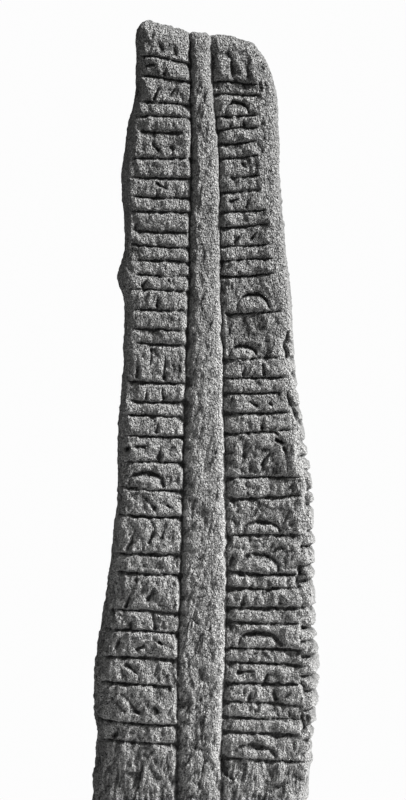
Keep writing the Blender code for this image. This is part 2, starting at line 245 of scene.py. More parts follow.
# lumps over the points, about -1 to 1
def lumps(points, size, seed, lean=0.0, octaves=1):
    spots = inCells(points, size, seed, lean)
    if octaves == 1:
        found = [noise.noise(spot) for spot in spots]
    else:
        found = [noise.fractal(spot, 1.0, 2.0, octaves) for spot in spots]
    return np.array(found).reshape(points.shape[:2])


# the raised rib up the face, between two grooves
rib = {
    "grooves": (  # height, bottom of the left groove, bottom of the right groove
        (0.00, -0.058, 0.066), (0.40, -0.058, 0.063), (0.65, -0.055, 0.074), (0.85, -0.047, 0.077),
        (1.08, -0.042, 0.077), (1.25, -0.039, 0.070), (1.45, -0.033, 0.068), (1.60, -0.026, 0.063),
        (1.80, -0.022, 0.060), (2.00, -0.018, 0.057), (2.12, -0.019, 0.048), (2.22, -0.020, 0.041),
        (2.37, -0.024, 0.035),
    ),
    "depth": 0.013,
    "crown": 0.0040,
    "outerFlank": {"left": 0.012, "right": 0.030},
    "innerFlanks": (  # height, width of the rib's left flank, of its right flank
        (0.00, 0.046, 0.022), (0.45, 0.044, 0.022), (0.62, 0.030, 0.028), (0.85, 0.024, 0.028),
        (1.30, 0.036, 0.026), (1.60, 0.032, 0.022), (1.90, 0.022, 0.018), (2.37, 0.018, 0.020),
    ),
    "wander": 0.0030,  # how far the rib's sides stray, and over what length
    "wanderSize": 0.05,
}


# the relief of the rib and its grooves, and how much each point is on the rib
def ribRelief():
    x = body[:, :, 0] + rib["wander"] * lumps(body, [rib["wanderSize"]] * 3, 1, octaves=2)
    left, right = (curveAt(rib["grooves"], column, levels)[:, None] for column in (1, 2))
    leftFlank, rightFlank = (curveAt(rib["innerFlanks"], column, levels)[:, None] for column in (1, 2))
    leftOuter = roundOff((left - x) / rib["outerFlank"]["left"])
    rightOuter = roundOff((x - right) / rib["outerFlank"]["right"])
    outer = np.maximum(leftOuter, rightOuter)
    inner = roundOff((x - left) / leftFlank) * roundOff((right - x) / rightFlank)
    between = (x > left) & (x < right)
    share = np.clip((x - left) / (right - left), 0, 1)
    top = rib["crown"] * 4 * share * (1 - share)
    found = np.where(between, -rib["depth"] * (1 - inner) + top * inner, -rib["depth"] * (1 - outer))
    return found * (facing > 0), between * inner * (facing > 0)


gaps = {"n": 0.040, "m": 0.053, "b": 0.072, "w": 0.103, "x": 0.124}  # between two long strokes
leftRow = {
    "top": 2.279,
    "rhythm": "mbnnbmmnmnnnnmmnwmnmbbbwmwmbbwm",
    "marks": "dv--z-s-----po--ct-odbzv-vtqszp",
    "slope": (-0.07, -0.03),  # at the foot, at the top
    "shortEvery": 5,
    "margin": (0.010, 0.032),
}
rightRow = {
    "top": 2.236,
    "rhythm": "nbnnnmnmnmnnwxmnmmxmwwnmnbnmmnnb",
    "marks": "-bt--s-d-v--bat-zoq-ab-c-b-dt--a",
    "slope": (-0.09, 0.12),
    "shortEvery": 7,
    "margin": (0.012, 0.012),
}
sideRow = {
    "top": 1.500,
    "rhythm": "nnnmnmnnmnbnmnbmnnmnmnn",
    "reach": math.radians(92),
    "inset": 0.9,  # in half widths of the edge line
}
uneven = {  # how far things stray from their rule
    "slope": 0.03,
    "margin": 0.6,
    "short": 0.020,
    "bend": 0.0030,
    "mark": 0.07,
    "sideReach": 0.08,
    "sideSlope": 0.008,
}
edgeLine = {
    "places": (  # height, place across the face
        (0.00, 0.262), (0.40, 0.285), (0.60, 0.281), (0.85, 0.276), (1.10, 0.289), (1.25, 0.268),
        (1.40, 0.240), (1.60, 0.236), (1.80, 0.208), (2.00, 0.176), (2.37, 0.172),
    ),
    "halfWidth": 0.009,
    # the line is lost in places; the long strokes run further there
    "parts": (
        (0.44, 0.50, "breach"), (0.54, 0.60, "edge"), (0.83, 0.90, "edge"),
        (1.05, 1.13, "edge"), (1.29, 1.37, "edge"), (1.45, 1.53, "breach"),
    ),
    "overlap": 0.01,
    "top": 1.53,
    "piece": 0.022,
    "wander": 0.006,
    "beyond": 0.016,
}
# half width and depth of each kind of cut, the share left at its two ends, how soon it is full,
# and how much wider its last end is
cuts = {
    "stroke": {"halfWidth": 0.0062, "depth": 0.0080, "ends": (0.3, 1.0), "run": 0.12, "flare": 0.9},
    "side": {"halfWidth": 0.0105, "depth": 0.0125, "ends": (0.7, 0.4), "run": 0.12, "flare": 0.0},
    "wedge": {"halfWidth": 0.0070, "depth": 0.0090, "ends": (1.0, 0.15), "run": 0.9, "flare": 0.0},
    "crescent": {"halfWidth": 0.0092, "depth": 0.0098, "ends": (0.3, 0.5), "run": 0.45, "flare": 0.0},
    "pit": {"halfWidth": 0.0070, "depth": 0.0090, "ends": (0.9, 0.7), "run": 0.5, "flare": 0.0},
    "notch": {"halfWidth": 0.0078, "depth": 0.0100, "ends": (1.0, 0.15), "run": 1.0, "flare": 0.0},
    "breach": {"halfWidth": 0.0085, "depth": 0.0130, "ends": (0.3, 0.5), "run": 0.15, "flare": 0.0},
    "crack": {"halfWidth": 0.0062, "depth": 0.0060, "ends": (0.8, 0.3), "run": 0.8, "flare": 0.0},
    "lump": {"halfWidth": 0.0250, "depth": 0.0050, "ends": (1.0, 0.8), "run": 1.0, "flare": 0.0},
    "boss": {"halfWidth": 0.0190, "depth": 0.0060, "ends": (1.0, 1.0), "run": 1.0, "flare": 0.0},
    "edge": {"halfWidth": 0.0080, "depth": 0.0068, "ends": (0.3, 0.5), "run": 0.15, "flare": 0.0},
    "hole": {"halfWidth": 0.0085, "depth": 0.0130, "ends": (0.8, 0.8), "run": 0.3, "flare": 0.0},
    "weathered": {"halfWidth": 0.0115, "depth": 0.0038, "ends": (0.3, 1.0), "run": 0.8, "flare": 0.0},
}
standUp = ("boss", "lump")  # raised instead of cut


# an arch's points, from its left foot over to its right one
def arch(middle, halfWidth, foot, rise):
    bearings = np.linspace(0, math.pi, 8)
    return [(middle - halfWidth * math.cos(angle), foot + rise * math.sin(angle)) for angle in bearings]


# what floats in a gap: cuts with their points as shares of the gap's width and clear height
marks = {
    "o": [("notch", [(0.52, 0.06), (0.55, 0.78)])],
    "p": [("notch", [(0.22, 0.10), (0.28, 0.74)]), ("wedge", [(0.66, 0.92), (0.70, 0.40)])],
    "s": [("wedge", [(0.38, 0.76), (0.56, 0.36)])],
    "t": [("notch", [(0.30, 0.04), (0.33, 0.70)]), ("notch", [(0.64, 0.10), (0.61, 0.90)])],
    "d": [("wedge", [(0.18, 0.56), (0.40, 0.68)]), ("notch", [(0.56, 0.08), (0.60, 0.60)])],
    "v": [("notch", [(0.24, 0.06), (0.36, 0.66)]), ("wedge", [(0.58, 0.30), (0.70, 0.78)])],
    "z": [("wedge", [(0.52, 0.26), (0.36, 0.74)]), ("pit", [(0.74, 0.42), (0.77, 0.30)])],
    "c": [
        ("notch", [(0.20, 0.06), (0.23, 0.64)]),
        ("wedge", [(0.47, 0.92), (0.45, 0.36)]),
        ("notch", [(0.70, 0.06), (0.72, 0.78)]),
    ],
    "q": [
        ("notch", [(0.24, 0.50), (0.27, 0.86)]),
        ("wedge", [(0.50, 0.26), (0.62, 0.58)]),
        ("pit", [(0.80, 0.66), (0.83, 0.56)]),
    ],
    "b": [
        ("crescent", arch(0.44, 0.29, 0.06, 0.62)),
        ("boss", [(0.32, 0.14), (0.56, 0.14)]),
    ],
    "a": [
        ("crescent", arch(0.38, 0.25, 0.06, 0.48)),
        ("boss", [(0.28, 0.12), (0.48, 0.12)]),
    ],
}
tallest = {"a": 0.055, "b": 0.066}  # how high these marks may stand in a wide gap
clearance = 0.008  # between a mark's middle and the middle of the long strokes
# natural hollows, cracks and lumps, as paths (x, level)
natural = {
    "weathered": (
        ((0.080, 2.322), (0.092, 2.294), (0.096, 2.268)),
        ((0.128, 2.304), (0.135, 2.276)),
        ((-0.112, 2.330), (-0.100, 2.306)),
        ((-0.072, 2.322), (-0.066, 2.304)),
        ((0.040, 0.350), (0.056, 0.300)),
        ((-0.128, 0.352), (-0.113, 0.318)),
        ((-0.070, 0.345), (-0.060, 0.285)),
    ),
    "crack": (
        ((-0.238, 0.541), (-0.204, 0.508), (-0.172, 0.484)),
        ((0.166, 2.248), (0.172, 2.216)),
    ),
    "lump": (
        ((0.066, 2.262), (0.068, 2.300)),
        ((0.114, 2.262), (0.114, 2.296)),
        ((0.158, 2.258), (0.156, 2.280)),
    ),
    "hole": (
        ((0.207, 1.260), (0.217, 1.253)),
        ((0.213, 1.238), (0.231, 1.231)),
        ((-0.196, 1.212), (-0.190, 1.216)),
        ((-0.238, 0.776), (-0.232, 0.774)),
        ((0.296, 0.492), (0.293, 0.470)),
    ),
}


# a row's long strokes from the top down, each as its two ends (x, level)
def longStrokes(row, inner, outer):
    strokes = []
    height = row["top"]
    for i, gap in enumerate(row["rhythm"] + " "):
        share = height / slab["height"]
        slope = row["slope"][0] + (row["slope"][1] - row["slope"][0]) * share + uneven["slope"] * jitter(i, 1)
        near, far = inner(height), outer(height)
        towards = 1 if near > far else -1
        margin = row["margin"][0] + (row["margin"][1] - row["margin"][0]) * share
        far += towards * margin * (1 + uneven["margin"] * jitter(i, 2))
        if i % row["shortEvery"] == row["shortEvery"] - 1:
            near -= towards * uneven["short"] * (1.2 + jitter(i, 3))
        middle = (near + far) / 2
        strokes.append(sorted((x, height + slope * (x - middle)) for x in (near, far)))
        height -= gaps.get(gap, 0.0)
    return strokes


# the marks between two long strokes, each as its path of (x, level) and the name of its cut
def marksBetween(kind, low, high, shift):
    def place(across, up):
        x = low[0][0] + (low[1][0] - low[0][0]) * across
        floor = low[0][1] + (low[1][1] - low[0][1]) * across + clearance
        ceiling = high[0][1] + (high[1][1] - high[0][1]) * across - clearance
        return x, floor + min(ceiling - floor, tallest.get(kind, 1.0)) * up

    found = []
    for cut, points in marks.get(kind, []):
        found.append(([place(across + shift, up) for across, up in points], cut))
    return found


# where the edge line is lost, the right row's strokes run on past its place
def lineIsLost(level):
    nearPart = any(
        low - edgeLine["overlap"] < level < high + edgeLine["overlap"] for low, high, _ in edgeLine["parts"]
    )
    return level <= edgeLine["top"] and not nearPart


def edgePlace(level):
    return float(curveAt(edgeLine["places"], 1, level))


leftStrokes = longStrokes(
    leftRow,
    lambda z: float(curveAt(rib["grooves"], 1, z)) - 0.5 * rib["outerFlank"]["left"],
    lambda z: float(curveAt(slab["outline"], 1, z)),
)
rightStrokes = longStrokes(
    rightRow,
    lambda z: float(curveAt(rib["grooves"], 2, z)) + 0.2 * rib["outerFlank"]["right"],
    lambda z: edgePlace(z) + (edgeLine["beyond"] if lineIsLost(z) else 0),
)


# a path of (x, level) over the face, as one over the flat surface
def laidFlat(path):
    return [(aroundAt(x, z), z) for x, z in path]


# a row's long strokes, cut from the rib outwards with a slight bend, and the marks between them
def rowCuts(row, strokes):
    found = []
    for i, (left, right) in enumerate(strokes):
        middle = ((left[0] + right[0]) / 2, (left[1] + right[1]) / 2 + uneven["bend"] * jitter(i, 12))
        path = [left, middle, right] if row is leftRow else [right, middle, left]
        found.append((laidFlat(path), "stroke"))
    for i, kind in enumerate(row["marks"]):
        for path, cut in marksBetween(kind, strokes[i + 1], strokes[i], uneven["mark"] * jitter(i, 4)):
            found.append((laidFlat(path), cut))
    return found


# the third row's strokes, from beside the edge line round the right corner
def sideCuts():
    found = []
    height = sideRow["top"]
    for i, gap in enumerate(sideRow["rhythm"] + " "):
        inset = (sideRow["inset"] + sideRow["inset"] * jitter(i, 14)) * edgeLine["halfWidth"]
        start = aroundAt(edgePlace(height) + inset, height)
        end = aroundAtTurn(sideRow["reach"] + uneven["sideReach"] * jitter(i, 5), height)
        found.append(([(start, height), (end, height + uneven["sideSlope"] * jitter(i, 6))], "side"))
        height -= gaps.get(gap, 0.0)
    return found


def edgeCuts():
    found = []
    for low, high, cut in edgeLine["parts"]:
        heights = np.linspace(low, high, round((high - low) / edgeLine["piece"]) + 1)
        path = [(edgePlace(z) + edgeLine["wander"] * jitter(round(100 * z), 13), z) for z in heights]
        found.append((laidFlat(path), cut))
    return found


# every cut as its path over the flat surface and the name of its cut
def allCuts():
    found = rowCuts(leftRow, leftStrokes) + rowCuts(rightRow, rightStrokes)
    for cut, paths in natural.items():
        found += [(laidFlat(path), cut) for path in paths]
    return found + sideCuts() + edgeCuts()


# blocks between two strokes stand a little higher or lower and lean a little, each its own way
blocks = {
    "height": 0.0022,
    "lean": 0.050,
    "halfGap": 0.02,
    "thinnest": 0.01,
    "overlap": 0.004,
    "fade": 0.012,
    "brightSide": 0.05,  # nothing stands up so near the rib's bright side
}


def blockRelief():
    total = np.zeros(body.shape[:2])
    x, z = body[:, :, 0], upward
    for seed, strokes in ((0, leftStrokes), (50, rightStrokes)):
        for i, (high, low) in enumerate(zip(strokes, strokes[1:])):
            (x0, high0), (x1, high1) = high
            (lowX0, low0), (lowX1, low1) = low
            first, last = np.searchsorted(levels, (low0 - blocks["halfGap"], high0 + blocks["halfGap"]))
            xs, zs = x[first:last], z[first:last]
            ceiling = high0 + (high1 - high0) * (xs - x0) / (x1 - x0)
            floor = low0 + (low1 - low0) * (xs - lowX0) / (lowX1 - lowX0)
            inside = (zs <= ceiling) & (zs > floor) & (facing > 0)
            fade = ease((xs - x0 + blocks["overlap"]) / blocks["fade"])
            fade = fade * ease((x1 + blocks["overlap"] - xs) / blocks["fade"])
            up = 2 * (zs - floor) / np.maximum(ceiling - floor, blocks["thinnest"]) - 1
            lift = blocks["height"] * jitter(i + seed, 9)
            lift = lift + blocks["lean"] * blocks["halfGap"] * up * jitter(i + seed, 10)
            lift = lift + blocks["lean"] * (xs - (x0 + x1) / 2) * jitter(i + seed, 11)
            if strokes is rightStrokes:
                lift = np.where(lift > 0, lift * ease((xs - x0) / blocks["brightSide"]), lift)
            total[first:last] += inside * fade * lift
    return total


# the right row's outer part rises a little towards the edge line
dish = {"rise": 0.0055, "reach": 0.085}


def dishRelief():
    line = curveAt(edgeLine["places"], 1, levels)[:, None] - 0.5 * edgeLine["halfWidth"]
    return dish["rise"] * ease((body[:, :, 0] - line + dish["reach"]) / dish["reach"]) * (facing > 0)


# how age has softened and roughened the cuts
wear = {
    "warp": {"reach": 0.0022, "size": (0.022, 0.022, 0.022)},
    "width": {"change": 0.35, "size": (0.03, 0.03, 0.03), "eachOne": 0.18},
    "depth": {"change": 0.45, "size": (0.035, 0.035, 0.02), "eachOne": 0.22},
    "ragged": {"change": 0.9, "size": (0.016, 0.016, 0.03)},
    "shoulderReach": 0.0105,
    "shoulderDrop": 0.0028,
    "window": 0.045,
    "slightAbove": 0.20,  # how much slighter the cuts are in the upper part, from where, over what height
    "slightFrom": 0.8,
    "slightOver": 0.7,
    "flareReach": 0.010,
    "wallSpread": (1.35, 0.70),  # a cut's wall is steep above and gentle below
}


# cut depth and softened shoulders over the whole grid
def carveAll(found):
    shape = body.shape[:2]
    cut, shoulder, raised = np.zeros(shape), np.zeros(shape), np.zeros(shape)
    warpUp = wear["warp"]["reach"] * lumps(body, wear["warp"]["size"], 2, octaves=2)
    warpRound = wear["warp"]["reach"] * lumps(body, wear["warp"]["size"], 3, octaves=2)
    width = 1 + wear["width"]["change"] * lumps(body, wear["width"]["size"], 4, octaves=2)
    depth = 1 + wear["depth"]["change"] * lumps(body, wear["depth"]["size"], 5, octaves=2)
    ragged = 0.75 + wear["ragged"]["change"] * lumps(body, wear["ragged"]["size"], 6, octaves=2)
    for i, (path, name) in enumerate(found):
        size = cuts[name]
        start, end = size["ends"]
        slight = 1 - wear["slightAbove"] * float(ease((path[0][1] - wear["slightFrom"]) / wear["slightOver"]))
        wide = slight * (1 + wear["width"]["eachOne"] * jitter(i, 7))
        deep = slight * (1 + wear["depth"]["eachOne"] * jitter(i, 8))
        lengths = [math.dist(a, b) for a, b in zip(path, path[1:])]
        whole = sum(lengths)
        for k, ((a0, z0), (a1, z1)) in enumerate(zip(path, path[1:])):
            reach = (min(z0, z1) - wear["window"], max(z0, z1) + wear["window"])
            window = slice(*np.searchsorted(levels, reach))
            a, z = around[window] + warpRound[window], upward[window] + warpUp[window]
            t = np.clip(((a - a0) * (a1 - a0) + (z - z0) * (z1 - z0)) / lengths[k] ** 2, 0, 1)
            above = z - z0 - t * (z1 - z0)
            above = above * np.where(above > 0, *wear["wallSpread"])
            distance = np.hypot(a - a0 - t * (a1 - a0), above)
            share = (sum(lengths[:k]) + t * lengths[k]) / whole
            fromStart = start + (1 - start) * share / size["run"]
            toEnd = end + (1 - end) * (1 - share) / size["run"]
            full = np.minimum(np.minimum(fromStart, toEnd), 1)
            spread = full**0.6 * (1 + size["flare"] * np.exp(-(1 - share) * whole / wear["flareReach"]))
            q = np.clip(1 - distance / (size["halfWidth"] * wide * spread * width[window]), 0, 1)
            if name in standUp:
                raised[window] = np.maximum(raised[window], size["depth"] * roundOff(q))
                continue
            core = size["depth"] * deep * full * depth[window] * (0.45 * q + 0.55 * q * (2 - q))
            near = np.exp(-((distance / wear["shoulderReach"]) ** 2))
            soft = wear["shoulderDrop"] * full * ragged[window] * near
            cut[window] = np.maximum(cut[window], core)
            shoulder[window] = np.maximum(shoulder[window], soft)
    return raised - cut - shoulder


# the stone's own roughness: size of the lumps, their lean, how far they stand; pillowed ones meet at creases
grain = {
    "waves": {"size": (0.24, 0.24, 0.30), "lean": 0.0, "reach": 0.0060},
    "hollows": {"size": (0.045, 0.045, 0.065), "lean": 0.1, "reach": 0.0045, "octaves": 2},
    "lenses": {"size": (0.021, 0.021, 0.030), "lean": 0.20, "reach": 0.0040, "pillowed": True},
    "streaks": {"size": (0.008, 0.008, 0.016), "lean": 0.28, "reach": 0.0022},
    "plates": {"size": (0.022, 0.022, 0.075), "lean": 0.26, "reach": 0.0018, "pillowed": True},
    "strands": {"size": (0.006, 0.006, 0.014), "lean": 0.30, "reach": 0.0014},
    "bark": {"size": (0.012, 0.012, 0.018), "lean": 0.10, "reach": 0.0050, "octaves": 2, "pillowed": True},
    "columns": {"size": (0.0125, 0.0125, 0.030), "lean": 0.12, "reach": 0.0016, "pillowed": True},
    "furrows": {"size": (0.008, 0.008, 0.085), "lean": 0.10, "reach": 0.0036, "octaves": 2, "pillowed": True},
    "breaks": {"size": (0.062, 0.062, 0.095), "lean": 0.30, "reach": 0.0070, "pillowed": True},
}
pillowCrease = 0.22
roughening = {"above": 0.86, "more": 0.48, "from": 1.5, "over": 1.1}  # stronger towards the foot


# all the layers of grain; shares says how much there is of a layer at each point of the body
def grainRelief(points, shares):
    total = np.zeros(points.shape[:2])
    for seed, (name, layer) in enumerate(grain.items()):
        found = lumps(points, layer["size"], 20 + seed, layer["lean"], layer.get("octaves", 1))
        if layer.get("pillowed"):
            found = np.abs(found) - pillowCrease
        if name in shares:
            found[:len(levels)] *= shares[name]
            found[len(levels):] *= shares[name][-1]
        total += layer["reach"] * found
    below = ease((roughening["from"] - points[:, :, 2]) / roughening["over"])
    return total * (roughening["above"] + roughening["more"] * below)


# flat chips side by side, each tilted its own way and parted from the next by a small step
facets = {
    "foot": {"size": (0.075, 0.075, 0.125), "lean": 0.20, "step": 0.0060},
    "rows": {"size": (0.030, 0.030, 0.036), "lean": 0.20, "step": 0.0028},
    "rib": {"size": (0.028, 0.028, 0.085), "lean": 0.26, "step": 0.0030},
}
tiltScatter = 5.3  # so that chips seldom share a tilt


def facetRelief(seed, name, share):
    total = np.zeros(body.shape[:2])
    where = (facing > 0) & (share > 0)
    found = []
    for spot in inCells(body[where], facets[name]["size"], 60 + seed, facets[name]["lean"]):
        centre = noise.voronoi(spot)[1][0]
        tilt = 2 * noise.cell_vector(centre * tiltScatter) - Vector((1, 1, 1))
        found.append(tilt.dot(Vector(spot) - centre))
    total[where] = found
    return facets[name]["step"] * total * share


# flat patches where a flake came off: place across the face, level, half width, half height
flats = ((0.154, 1.331, 0.032, 0.024), (-0.143, 1.440, 0.022, 0.024), (-0.157, 0.778, 0.030, 0.036))
flatsFade = 0.4


def flatShare():
    share = np.zeros(body.shape[:2])
    for x, level, halfWidth, halfHeight in flats:
        inside = 1 - ((body[:, :, 0] - x) / halfWidth) ** 2 - ((upward - level) / halfHeight) ** 2
        share = np.maximum(share, ease(inside / flatsFade) * (facing > 0))
    return share


# scoops struck off the back and sides, with ridges between them; shallower round the right side
scars = {
    "large": {"size": (0.13, 0.13, 0.24), "depth": 0.016, "seed": 30},
    "small": {"size": (0.05, 0.05, 0.09), "depth": 0.005, "seed": 31},
}
scarred = {"from": 0.25, "fade": 0.7, "rightLess": 0.55, "rightFrom": 0.6, "rightTo": 2.2, "rightFade": 0.5}
ridgeHeight = 0.35


def scarRelief(points):
    onRight = ease((turns[None, :] - scarred["rightFrom"]) / scarred["rightFade"])
    onRight = onRight * ease((scarred["rightTo"] - turns[None, :]) / scarred["rightFade"])
    mask = ease((scarred["from"] - facing) / scarred["fade"]) * (1 - scarred["rightLess"] * onRight)
    total = np.zeros(points.shape[:2])
    for scar in scars.values():
        spots = (points.reshape(-1, 3) / np.array(scar["size"]) + scar["seed"]).tolist()
        near = np.array([noise.voronoi(spot)[0][0] for spot in spots]).reshape(points.shape[:2])
        total += scar["depth"] * (near**2 - ridgeHeight)
    return total * mask


# where the stone changes its kind: a level, a facing or a place, and over how much it fades
zones = {
    "foot": (0.46, 0.10),
    "lower": (1.7, 0.7),
    "behind": (0.35, 0.4),
    "side": (0.75, 0.4),
    "margin": (0.010, 0.020),  # the right margin above the third row
    "marginUp": 0.08,
    "marginTurn": 1.9,
}
quiet = {"upperChips": 0.45, "flats": 0.75, "behind": 0.6}  # chips left above, roughness lost, roughness left
sideInset = {"left": 0.005, "right": 0.011}


# the right margin above the third row, 1 there and 0 elsewhere
def marginShare():
    line = curveAt(edgeLine["places"], 1, levels)[:, None]
    overlap, fade = zones["margin"]
    beyond = ease((body[:, :, 0] - line + overlap) / fade) * (np.abs(turns) < zones["marginTurn"])
    return beyond * ease((upward - edgeLine["top"]) / zones["marginUp"])


relief = np.zeros((rowCount, columnCount))
ribHeight, onRib = ribRelief()
carved = ribHeight + carveAll(allCuts()) + blockRelief() + dishRelief()
relief[:len(levels)] = carved
relief[len(levels):] = carved[-1] * (1 - inward)[:, None] ** 2
print("stage: strokes cut")

onFoot = ease((zones["foot"][0] - upward) / zones["foot"][1])
onLower = ease((zones["lower"][0] - upward) / zones["lower"][1])
chipped = quiet["upperChips"] + (1 - quiet["upperChips"]) * onLower
layerShares = {
    "lenses": (1 - 0.5 * onRib) * (1 - 0.6 * onFoot),
    "plates": onRib,
    "strands": onRib,
    "bark": marginShare(),
    "columns": (1 - onRib) * (1 - onFoot),
    "furrows": onFoot * (1 - 0.6 * onRib),
    "breaks": onFoot * (1 - 0.7 * onRib),
}
chipShares = {
    "foot": onFoot * (1 - 0.7 * onRib),
    "rows": (1 - onFoot) * (1 - onRib) * chipped,
    "rib": onRib * chipped,
}
rough = grainRelief(plain, layerShares)
rough[:len(levels)] += sum(facetRelief(seed, name, chipShares[name]) for seed, name in enumerate(facets))
rough[:len(levels)] *= 1 - quiet["flats"] * flatShare()
inFront = ease((facing + zones["behind"][0]) / zones["behind"][1])
rough *= quiet["behind"] + (1 - quiet["behind"]) * inFront
relief += rough + scarRelief(plain)
# the roughness stands out past the edges, so the sides lie a little further in
onSide = ease((zones["side"][0] - facing) / zones["side"][1])
relief -= onSide * np.where(turns[None, :] < 0, sideInset["left"], sideInset["right"])
print("stage: stone roughened")

# how many faces are left, and how far back the plainer side begins
faceLimits = {"back": 50000, "whole": 197000}
backFrom = 0.02
mergeWithin = 0.00005


# the grid wrapped round the slab, its seam, pole and foot closed
def wrapGrid():
    bpy.ops.object.select_all(action="DESELECT")
    bpy.ops.mesh.primitive_grid_add(x_subdivisions=columnCount - 1, y_subdivisions=rowCount - 1, size=1)
    piece = bpy.context.object
    piece.name = piece.data.name = "carvedStone"
    shaped = plain + outward * relief[:, :, None]
    shaped[:, -1] = shaped[:, 0]
    shaped[0, :, 2] = 0
    shaped[:, :, 2] = np.maximum(shaped[:, :, 2], 0)
    shaped[-1] = shaped[-1].mean(axis=0)
    assert len(piece.data.vertices) == rowCount * columnCount, len(piece.data.vertices)
    piece.data.vertices.foreach_set("co", shaped.ravel())
    piece.data.update()

    selectOnly(piece)
    bpy.ops.object.mode_set(mode="EDIT")
    bpy.ops.mesh.select_all(action="SELECT")
    bpy.ops.mesh.remove_doubles(threshold=mergeWithin)
    bpy.ops.mesh.select_all(action="DESELECT")
    bpy.ops.mesh.select_mode(type="EDGE")
    bpy.ops.mesh.select_non_manifold()
    bpy.ops.mesh.edge_face_add()
    bpy.ops.mesh.select_all(action="SELECT")
    bpy.ops.mesh.quads_convert_to_tris()
    bpy.ops.mesh.normals_make_consistent(inside=False)
    bpy.ops.object.mode_set(mode="OBJECT")
    print("stage: closed,", len(piece.data.polygons), "faces")
    return piece


# the back keeps fewer faces than the carved side
def thinOut(piece):
    backGroup = piece.vertex_groups.new(name="back")
    backGroup.add([v.index for v in piece.data.vertices if v.co.y > backFrom], 1.0, "REPLACE")
    thinBack = piece.modifiers.new("thinBack", "DECIMATE")
    thinBack.vertex_group = "back"
    behind = sum(face.center.y > backFrom for face in piece.data.polygons)
    thinBack.ratio = 1 - (behind - faceLimits["back"]) / len(piece.data.polygons)
    bpy.ops.object.modifier_apply(modifier="thinBack")
    thin = piece.modifiers.new("thin", "DECIMATE")
    thin.ratio = faceLimits["whole"] / len(piece.data.polygons)
    bpy.ops.object.modifier_apply(modifier="thin")
    bpy.ops.object.shade_smooth()
    print("stage: thinned to", len(piece.data.polygons), "faces")


stone = wrapGrid()
thinOut(stone)

# what the finish reads at each point for the painted shade in hollows: rounds of smoothing, and how far below
# the smoothed surface is deepest
hollowMarks = {"hollow": (60, 0.004), "crevice": (11, 0.0012)}
highlightMark = {
    "flank": (0.10, 0.80, 0.45),  # in shares of the flank: full from, fading before, over how much
    "crownFrom": 0.012,
    "crownFade": 0.010,
    "crownShare": 0.24,
    "low": (0.55, 0.20),  # the crown gets its painted highlight above this level, and over how much that begins
    "high": (1.60, 0.30),
}


def perPoint(piece, name):
    values = np.empty(len(piece.data.vertices) * 3)
    piece.data.vertices.foreach_get(name, values)
    return values.reshape(-1, 3)


def keepOnPoints(piece, name, values):
    layer = piece.data.attributes.new(name, "FLOAT", "POINT")
    layer.data.foreach_set("value", values.astype(np.float32))


# how deep each point lies below the surface round it: 0.5 is level with it, 1 is deep
def markHollows(piece, name, rounds, reach):
    start, normals = perPoint(piece, "co"), perPoint(piece, "normal")
    count = len(start)
    ends = np.empty(len(piece.data.edges) * 2, np.int64)
    piece.data.edges.foreach_get("vertices", ends)
    one, other = ends.reshape(-1, 2).T
    links = np.bincount(one, minlength=count) + np.bincount(other, minlength=count)
    smoothed = start.copy()
    for _ in range(rounds):
        for axis in range(3):
            total = np.bincount(one, smoothed[other, axis], count)
            total = total + np.bincount(other, smoothed[one, axis], count)
            smoothed[:, axis] = 0.5 * smoothed[:, axis] + 0.5 * total / links
    below = ((smoothed - start) * normals).sum(axis=1)
    keepOnPoints(piece, name, np.clip(0.5 + 0.5 * below / reach, 0, 1))


# 1 on the rib's right side, which faces the light and gets a painted highlight, and a little on its crown, 0
# elsewhere
def markHighlight(piece, name):
    x, y, z = perPoint(piece, "co").T
    within = (curveAt(rib["grooves"], 2, z) - x) / curveAt(rib["innerFlanks"], 2, z)
    left = curveAt(rib["grooves"], 1, z)
    (low, lowFade), (high, highFade) = highlightMark["low"], highlightMark["high"]
    crown = ease((x - left - highlightMark["crownFrom"]) / highlightMark["crownFade"]) * (within > 0)
    crown = crown * ease((z - low) / lowFade) * ease((high - z) / highFade)
    full, fadeBefore, fade = highlightMark["flank"]
    flank = ease(within / full) * ease((fadeBefore - within) / fade)
    keepOnPoints(piece, name, np.maximum(flank, highlightMark["crownShare"] * crown) * (y < 0))


for name, (rounds, reach) in hollowMarks.items():
    markHollows(stone, name, rounds, reach)
markHighlight(stone, "highlightMask")
print("stage: hollows marked")

finish = {
    # the stone's tones: deep is painted shade in the hollows, high is painted highlight where the stone
    # stands out
    "deep": (0.108, 0.108, 0.106),
    "middle": (0.315, 0.314, 0.310),
    "high": (0.44, 0.438, 0.431),
    "paintedHighlight": (0.485, 0.482, 0.475),
    "toneStops": (0.30, 0.58, 0.95),  # where the tone is high, middle and deep
    "toneShares": {"hollow": 0.62, "crevice": 0.40, "lens": 0.20, "grain": 0.15, "patches": 0.30},
    "toneBase": 0.05,
    "specular": 0.35,
    "roughness": (0.76, 0.94),
    "lensSize": (0.0048, 0.0048, 0.0078),
    "lensBump": 0.0096,
    "grainSize": (0.0035, 0.0035, 0.0050),
    "grainBump": 0.0066,
    "lean": 18,
    "patchSize": (0.11, 0.11, 0.16),
    "speckSize": 0.0022,
    # from where to where a thing changes, then its value at the one and at the other
    "specks": (0.28, 0.74, 0.42, 1.48),  # mineral grains, dark and pale
    "bumpsKept": (0.30, 0.90, 1.0, 0.38),  # where the stone turns to the right
    "edgeDarkened": (0.50, 0.90, 0.0, 0.50),  # painted shade on the outer right side, which faces the light, so that it is no paler than the face
    "upperPart": (1.45, 1.70, 0.0, 0.95),  # painted shade on the upper right margin where it turns to the light
    "upperTurned": (0.22, 0.60, 0.0, 1.0),
    "footShade": (0.25, 0.95, 0.88, 1.0),  # painted shade, darker towards the foot
    "leftTurned": (-0.15, -0.70, 0.0, 1.0),  # and painted shade where the stone turns left, away from the light, most of it low down
    "leftShadePart": (1.00, 0.35, 0.0, 0.50),
    "brightSide": (0.78, 0.0, 0.62),  # towards the light
}


